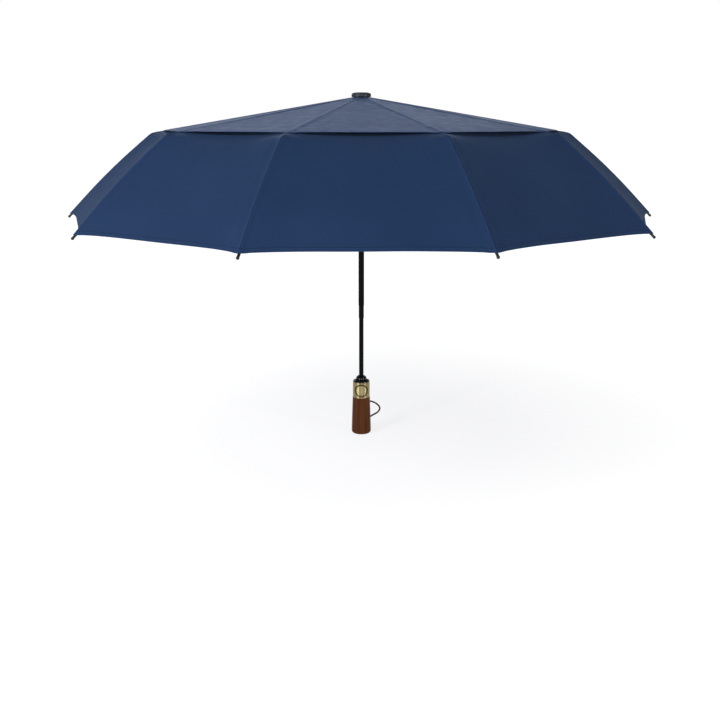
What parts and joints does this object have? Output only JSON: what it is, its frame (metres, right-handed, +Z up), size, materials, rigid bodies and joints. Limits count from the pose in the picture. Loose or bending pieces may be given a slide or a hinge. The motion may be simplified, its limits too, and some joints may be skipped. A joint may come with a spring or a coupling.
{
  "type": "folding umbrella",
  "caption": "Open compact umbrella: vented navy canopy on jointed ribs, telescopic black shaft, push-button collar of brass, wooden grip with a leather wrist cord.",
  "frame": {"origin": "middle of the grip's lower end", "axes": "+Z up the shaft to the crown; the button faces -Y"},
  "size_m": [1.0114, 0.9746, 0.6016],
  "materials": {
    "walnut": "dark reddish-brown lacquered wood",
    "brass": "polished pale brass",
    "brass_button": "polished pale brass",
    "black_gloss": "gloss black moulding",
    "core_plastic": "dark moulding",
    "black_tube": "satin black steel tube",
    "spring_steel": "bright spring steel",
    "cord_leather": "round dark-brown leather",
    "black_nylon": "black nylon",
    "cap_black": "satin black-navy moulding",
    "canopy_cloth": "navy pongee",
    "vent_cloth": "navy pongee",
    "strap_cloth": "navy pongee",
    "rib_metal": "black coated rib",
    "rod_black": "black glass-fibre rod"
  },
  "bodies": {
    "handle": {"wooden_grip": "walnut", "brass_collar": "brass", "throat_collar": "black_gloss", "handle_core": "core_plastic", "lower_tube": "black_tube", "opening_spring": "spring_steel", "button_spring": "spring_steel", "wrist_cord": "cord_leather"},
    "button": {"push_button": "brass_button", "latch_plate": "spring_steel"},
    "middle": {"middle_tube": "black_tube"},
    "upper": {"upper_tube": "black_tube", "crown_notch": "black_nylon", "crown_wire_ring": "spring_steel", "top_cap": "cap_black", "canopy_main": "canopy_cloth", "canopy_vent": "vent_cloth"},
    "top_1": {"top_rib_1": "rib_metal"},
    "stretch_1": {"stretcher_1": "rib_metal"},
    "mid_1": {"mid_rib_1": "rib_metal"},
    "outer_1": {"outer_rib_1": "rod_black"},
    "top_2": {"top_rib_2": "rib_metal"},
    "stretch_2": {"stretcher_2": "rib_metal"},
    "mid_2": {"mid_rib_2": "rib_metal"},
    "outer_2": {"outer_rib_2": "rod_black"},
    "top_3": {"top_rib_3": "rib_metal"},
    "stretch_3": {"stretcher_3": "rib_metal"},
    "mid_3": {"mid_rib_3": "rib_metal"},
    "outer_3": {"outer_rib_3": "rod_black"},
    "top_4": {"top_rib_4": "rib_metal"},
    "stretch_4": {"stretcher_4": "rib_metal"},
    "mid_4": {"mid_rib_4": "rib_metal"},
    "outer_4": {"outer_rib_4": "rod_black"},
    "top_5": {"top_rib_5": "rib_metal"},
    "stretch_5": {"stretcher_5": "rib_metal"},
    "mid_5": {"mid_rib_5": "rib_metal"},
    "outer_5": {"outer_rib_5": "rod_black"},
    "top_6": {"top_rib_6": "rib_metal"},
    "stretch_6": {"stretcher_6": "rib_metal"},
    "mid_6": {"mid_rib_6": "rib_metal"},
    "outer_6": {"outer_rib_6": "rod_black"},
    "top_7": {"top_rib_7": "rib_metal"},
    "stretch_7": {"stretcher_7": "rib_metal"},
    "mid_7": {"mid_rib_7": "rib_metal"},
    "outer_7": {"outer_rib_7": "rod_black"},
    "top_8": {"top_rib_8": "rib_metal"},
    "stretch_8": {"stretcher_8": "rib_metal"},
    "mid_8": {"mid_rib_8": "rib_metal"},
    "outer_8": {"outer_rib_8": "rod_black"},
    "top_9": {"top_rib_9": "rib_metal"},
    "stretch_9": {"stretcher_9": "rib_metal"},
    "mid_9": {"mid_rib_9": "rib_metal"},
    "outer_9": {"outer_rib_9": "rod_black"},
    "top_10": {"top_rib_10": "rib_metal"},
    "stretch_10": {"stretcher_10": "rib_metal"},
    "mid_10": {"mid_rib_10": "rib_metal"},
    "outer_10": {"outer_rib_10": "rod_black"},
    "runner": {"runner": "black_nylon", "runner_wire_ring": "spring_steel"},
    "strap": {"tie_strap": "strap_cloth"}
  },
  "joints": [
    {"name": "button_press", "type": "slide", "parent": "handle", "child": "button", "axis": [0, 1, 0], "range_m": [0, 0.002], "stiffness_N_per_m": 500, "springref_m": -0.001, "deforming": ["button_spring"]},
    {"name": "middle_tube_slide", "type": "slide", "parent": "handle", "child": "middle", "axis": [0, 0, -1], "range_m": [0, 0.126], "deforming": ["opening_spring"]},
    {"name": "upper_tube_slide", "type": "slide", "parent": "middle", "child": "upper", "axis": [0, 0, -1], "range_m": [0, 0.161], "deforming": ["opening_spring"]},
    {"name": "canopy_fold", "type": "hinge", "parent": "upper", "child": "top_1", "pos_m": [0.00309, -0.00898, 0.582], "axis": [0.9455, 0.3256, 0], "range_deg": [0, 77.99], "deforming": ["canopy_main", "canopy_vent", "tie_strap"]},
    {"name": "stretcher_1_fold", "type": "hinge", "parent": "top_1", "child": "stretch_1", "pos_m": [0.02989, -0.08681, 0.56524], "axis": [0.9455, 0.3256, 0], "range_deg": [-155.98, 0]},
    {"name": "mid_rib_1_fold", "type": "hinge", "parent": "top_1", "child": "mid_1", "pos_m": [0.05772, -0.16763, 0.56155], "axis": [0.9455, 0.3256, 0], "range_deg": [-177.18, 0]},
    {"name": "outer_rib_1_fold", "type": "hinge", "parent": "mid_1", "child": "outer_1", "pos_m": [0.11558, -0.33566, 0.5275], "axis": [0.9455, 0.3256, 0], "range_deg": [0, 146.14]},
    {"name": "top_rib_2_fold", "type": "hinge", "parent": "upper", "child": "top_2", "pos_m": [0.00778, -0.00545, 0.582], "axis": [0.5736, 0.8192, 0], "range_deg": [0, 77.99]},
    {"name": "stretcher_2_fold", "type": "hinge", "parent": "top_2", "child": "stretch_2", "pos_m": [0.07521, -0.05266, 0.56524], "axis": [0.5736, 0.8192, 0], "range_deg": [-155.98, 0]},
    {"name": "mid_rib_2_fold", "type": "hinge", "parent": "top_2", "child": "mid_2", "pos_m": [0.14523, -0.10169, 0.56155], "axis": [0.5736, 0.8192, 0], "range_deg": [-177.18, 0]},
    {"name": "outer_rib_2_fold", "type": "hinge", "parent": "mid_2", "child": "outer_2", "pos_m": [0.2908, -0.20362, 0.5275], "axis": [0.5736, 0.8192, 0], "range_deg": [0, 146.14]},
    {"name": "top_rib_3_fold", "type": "hinge", "parent": "upper", "child": "top_3", "pos_m": [0.0095, 0.00017, 0.582], "axis": [-0.0175, 0.9998, 0], "range_deg": [0, 77.99]},
    {"name": "stretcher_3_fold", "type": "hinge", "parent": "top_3", "child": "stretch_3", "pos_m": [0.0918, 0.0016, 0.56524], "axis": [-0.0175, 0.9998, 0], "range_deg": [-155.98, 0]},
    {"name": "mid_rib_3_fold", "type": "hinge", "parent": "top_3", "child": "mid_3", "pos_m": [0.17727, 0.00309, 0.56155], "axis": [-0.0175, 0.9998, 0], "range_deg": [-177.18, 0]},
    {"name": "outer_rib_3_fold", "type": "hinge", "parent": "mid_3", "child": "outer_3", "pos_m": [0.35495, 0.0062, 0.5275], "axis": [-0.0175, 0.9998, 0], "range_deg": [0, 146.14]},
    {"name": "top_rib_4_fold", "type": "hinge", "parent": "upper", "child": "top_4", "pos_m": [0.00759, 0.00572, 0.582], "axis": [-0.6018, 0.7986, 0], "range_deg": [0, 77.99]},
    {"name": "stretcher_4_fold", "type": "hinge", "parent": "top_4", "child": "stretch_4", "pos_m": [0.07332, 0.05525, 0.56524], "axis": [-0.6018, 0.7986, 0], "range_deg": [-155.98, 0]},
    {"name": "mid_rib_4_fold", "type": "hinge", "parent": "top_4", "child": "mid_4", "pos_m": [0.14159, 0.1067, 0.56155], "axis": [-0.6018, 0.7986, 0], "range_deg": [-177.18, 0]},
    {"name": "outer_rib_4_fold", "type": "hinge", "parent": "mid_4", "child": "outer_4", "pos_m": [0.28352, 0.21364, 0.5275], "axis": [-0.6018, 0.7986, 0], "range_deg": [0, 146.14]},
    {"name": "top_rib_5_fold", "type": "hinge", "parent": "upper", "child": "top_5", "pos_m": [0.00278, 0.00908, 0.582], "axis": [-0.9563, 0.2924, 0], "range_deg": [0, 77.99]},
    {"name": "stretcher_5_fold", "type": "hinge", "parent": "top_5", "child": "stretch_5", "pos_m": [0.02684, 0.0878, 0.56524], "axis": [-0.9563, 0.2924, 0], "range_deg": [-155.98, 0]},
    {"name": "mid_rib_5_fold", "type": "hinge", "parent": "top_5", "child": "mid_5", "pos_m": [0.05183, 0.16955, 0.56155], "axis": [-0.9563, 0.2924, 0], "range_deg": [-177.18, 0]},
    {"name": "outer_rib_5_fold", "type": "hinge", "parent": "mid_5", "child": "outer_5", "pos_m": [0.10379, 0.33949, 0.5275], "axis": [-0.9563, 0.2924, 0], "range_deg": [0, 146.14]},
    {"name": "top_rib_6_fold", "type": "hinge", "parent": "upper", "child": "top_6", "pos_m": [-0.00309, 0.00898, 0.582], "axis": [-0.9455, -0.3256, 0], "range_deg": [0, 77.99]},
    {"name": "stretcher_6_fold", "type": "hinge", "parent": "top_6", "child": "stretch_6", "pos_m": [-0.02989, 0.08681, 0.56524], "axis": [-0.9455, -0.3256, 0], "range_deg": [-155.98, 0]},
    {"name": "mid_rib_6_fold", "type": "hinge", "parent": "top_6", "child": "mid_6", "pos_m": [-0.05772, 0.16763, 0.56155], "axis": [-0.9455, -0.3256, 0], "range_deg": [-177.18, 0]},
    {"name": "outer_rib_6_fold", "type": "hinge", "parent": "mid_6", "child": "outer_6", "pos_m": [-0.11558, 0.33566, 0.5275], "axis": [-0.9455, -0.3256, 0], "range_deg": [0, 146.14]},
    {"name": "top_rib_7_fold", "type": "hinge", "parent": "upper", "child": "top_7", "pos_m": [-0.00778, 0.00545, 0.582], "axis": [-0.5736, -0.8192, 0], "range_deg": [0, 77.99]},
    {"name": "stretcher_7_fold", "type": "hinge", "parent": "top_7", "child": "stretch_7", "pos_m": [-0.07521, 0.05266, 0.56524], "axis": [-0.5736, -0.8192, 0], "range_deg": [-155.98, 0]},
    {"name": "mid_rib_7_fold", "type": "hinge", "parent": "top_7", "child": "mid_7", "pos_m": [-0.14523, 0.10169, 0.56155], "axis": [-0.5736, -0.8192, 0], "range_deg": [-177.18, 0]},
    {"name": "outer_rib_7_fold", "type": "hinge", "parent": "mid_7", "child": "outer_7", "pos_m": [-0.2908, 0.20362, 0.5275], "axis": [-0.5736, -0.8192, 0], "range_deg": [0, 146.14]},
    {"name": "top_rib_8_fold", "type": "hinge", "parent": "upper", "child": "top_8", "pos_m": [-0.0095, -0.00017, 0.582], "axis": [0.0175, -0.9998, 0], "range_deg": [0, 77.99]},
    {"name": "stretcher_8_fold", "type": "hinge", "parent": "top_8", "child": "stretch_8", "pos_m": [-0.0918, -0.0016, 0.56524], "axis": [0.0175, -0.9998, 0], "range_deg": [-155.98, 0]},
    {"name": "mid_rib_8_fold", "type": "hinge", "parent": "top_8", "child": "mid_8", "pos_m": [-0.17727, -0.00309, 0.56155], "axis": [0.0175, -0.9998, 0], "range_deg": [-177.18, 0]},
    {"name": "outer_rib_8_fold", "type": "hinge", "parent": "mid_8", "child": "outer_8", "pos_m": [-0.35495, -0.0062, 0.5275], "axis": [0.0175, -0.9998, 0], "range_deg": [0, 146.14]},
    {"name": "top_rib_9_fold", "type": "hinge", "parent": "upper", "child": "top_9", "pos_m": [-0.00759, -0.00572, 0.582], "axis": [0.6018, -0.7986, 0], "range_deg": [0, 77.99]},
    {"name": "stretcher_9_fold", "type": "hinge", "parent": "top_9", "child": "stretch_9", "pos_m": [-0.07332, -0.05525, 0.56524], "axis": [0.6018, -0.7986, 0], "range_deg": [-155.98, 0]},
    {"name": "mid_rib_9_fold", "type": "hinge", "parent": "top_9", "child": "mid_9", "pos_m": [-0.14159, -0.1067, 0.56155], "axis": [0.6018, -0.7986, 0], "range_deg": [-177.18, 0]},
    {"name": "outer_rib_9_fold", "type": "hinge", "parent": "mid_9", "child": "outer_9", "pos_m": [-0.28352, -0.21364, 0.5275], "axis": [0.6018, -0.7986, 0], "range_deg": [0, 146.14]},
    {"name": "top_rib_10_fold", "type": "hinge", "parent": "upper", "child": "top_10", "pos_m": [-0.00278, -0.00908, 0.582], "axis": [0.9563, -0.2924, 0], "range_deg": [0, 77.99]},
    {"name": "stretcher_10_fold", "type": "hinge", "parent": "top_10", "child": "stretch_10", "pos_m": [-0.02684, -0.0878, 0.56524], "axis": [0.9563, -0.2924, 0], "range_deg": [-155.98, 0]},
    {"name": "mid_rib_10_fold", "type": "hinge", "parent": "top_10", "child": "mid_10", "pos_m": [-0.05183, -0.16955, 0.56155], "axis": [0.9563, -0.2924, 0], "range_deg": [-177.18, 0]},
    {"name": "outer_rib_10_fold", "type": "hinge", "parent": "mid_10", "child": "outer_10", "pos_m": [-0.10379, -0.33949, 0.5275], "axis": [0.9563, -0.2924, 0], "range_deg": [0, 146.14]},
    {"name": "runner_slide", "type": "hinge", "parent": "stretch_1", "child": "runner", "pos_m": [0.00309, -0.00898, 0.54847], "axis": [0.9455, 0.3256, 0], "range_deg": [0, 77.99]},
    {"name": "strap_hang", "type": "hinge", "parent": "outer_5", "child": "strap", "pos_m": [0.14855, 0.48589, 0.39147], "axis": [-0.9563, 0.2924, 0], "range_deg": [-46.95, 0]}
  ],
  "couplings": [
    {"joint": "stretcher_1_fold", "follows": "canopy_fold", "ratio": -2},
    {"joint": "mid_rib_1_fold", "follows": "canopy_fold", "ratio": -2.2719},
    {"joint": "outer_rib_1_fold", "follows": "canopy_fold", "ratio": 1.8739},
    {"joint": "top_rib_2_fold", "follows": "canopy_fold", "ratio": 1},
    {"joint": "stretcher_2_fold", "follows": "canopy_fold", "ratio": -2},
    {"joint": "mid_rib_2_fold", "follows": "canopy_fold", "ratio": -2.2719},
    {"joint": "outer_rib_2_fold", "follows": "canopy_fold", "ratio": 1.8739},
    {"joint": "top_rib_3_fold", "follows": "canopy_fold", "ratio": 1},
    {"joint": "stretcher_3_fold", "follows": "canopy_fold", "ratio": -2},
    {"joint": "mid_rib_3_fold", "follows": "canopy_fold", "ratio": -2.2719},
    {"joint": "outer_rib_3_fold", "follows": "canopy_fold", "ratio": 1.8739},
    {"joint": "top_rib_4_fold", "follows": "canopy_fold", "ratio": 1},
    {"joint": "stretcher_4_fold", "follows": "canopy_fold", "ratio": -2},
    {"joint": "mid_rib_4_fold", "follows": "canopy_fold", "ratio": -2.2719},
    {"joint": "outer_rib_4_fold", "follows": "canopy_fold", "ratio": 1.8739},
    {"joint": "top_rib_5_fold", "follows": "canopy_fold", "ratio": 1},
    {"joint": "stretcher_5_fold", "follows": "canopy_fold", "ratio": -2},
    {"joint": "mid_rib_5_fold", "follows": "canopy_fold", "ratio": -2.2719},
    {"joint": "outer_rib_5_fold", "follows": "canopy_fold", "ratio": 1.8739},
    {"joint": "top_rib_6_fold", "follows": "canopy_fold", "ratio": 1},
    {"joint": "stretcher_6_fold", "follows": "canopy_fold", "ratio": -2},
    {"joint": "mid_rib_6_fold", "follows": "canopy_fold", "ratio": -2.2719},
    {"joint": "outer_rib_6_fold", "follows": "canopy_fold", "ratio": 1.8739},
    {"joint": "top_rib_7_fold", "follows": "canopy_fold", "ratio": 1},
    {"joint": "stretcher_7_fold", "follows": "canopy_fold", "ratio": -2},
    {"joint": "mid_rib_7_fold", "follows": "canopy_fold", "ratio": -2.2719},
    {"joint": "outer_rib_7_fold", "follows": "canopy_fold", "ratio": 1.8739},
    {"joint": "top_rib_8_fold", "follows": "canopy_fold", "ratio": 1},
    {"joint": "stretcher_8_fold", "follows": "canopy_fold", "ratio": -2},
    {"joint": "mid_rib_8_fold", "follows": "canopy_fold", "ratio": -2.2719},
    {"joint": "outer_rib_8_fold", "follows": "canopy_fold", "ratio": 1.8739},
    {"joint": "top_rib_9_fold", "follows": "canopy_fold", "ratio": 1},
    {"joint": "stretcher_9_fold", "follows": "canopy_fold", "ratio": -2},
    {"joint": "mid_rib_9_fold", "follows": "canopy_fold", "ratio": -2.2719},
    {"joint": "outer_rib_9_fold", "follows": "canopy_fold", "ratio": 1.8739},
    {"joint": "top_rib_10_fold", "follows": "canopy_fold", "ratio": 1},
    {"joint": "stretcher_10_fold", "follows": "canopy_fold", "ratio": -2},
    {"joint": "mid_rib_10_fold", "follows": "canopy_fold", "ratio": -2.2719},
    {"joint": "outer_rib_10_fold", "follows": "canopy_fold", "ratio": 1.8739},
    {"joint": "runner_slide", "follows": "canopy_fold", "ratio": 1},
    {"joint": "strap_hang", "follows": "canopy_fold", "ratio": -0.60196}
  ]
}
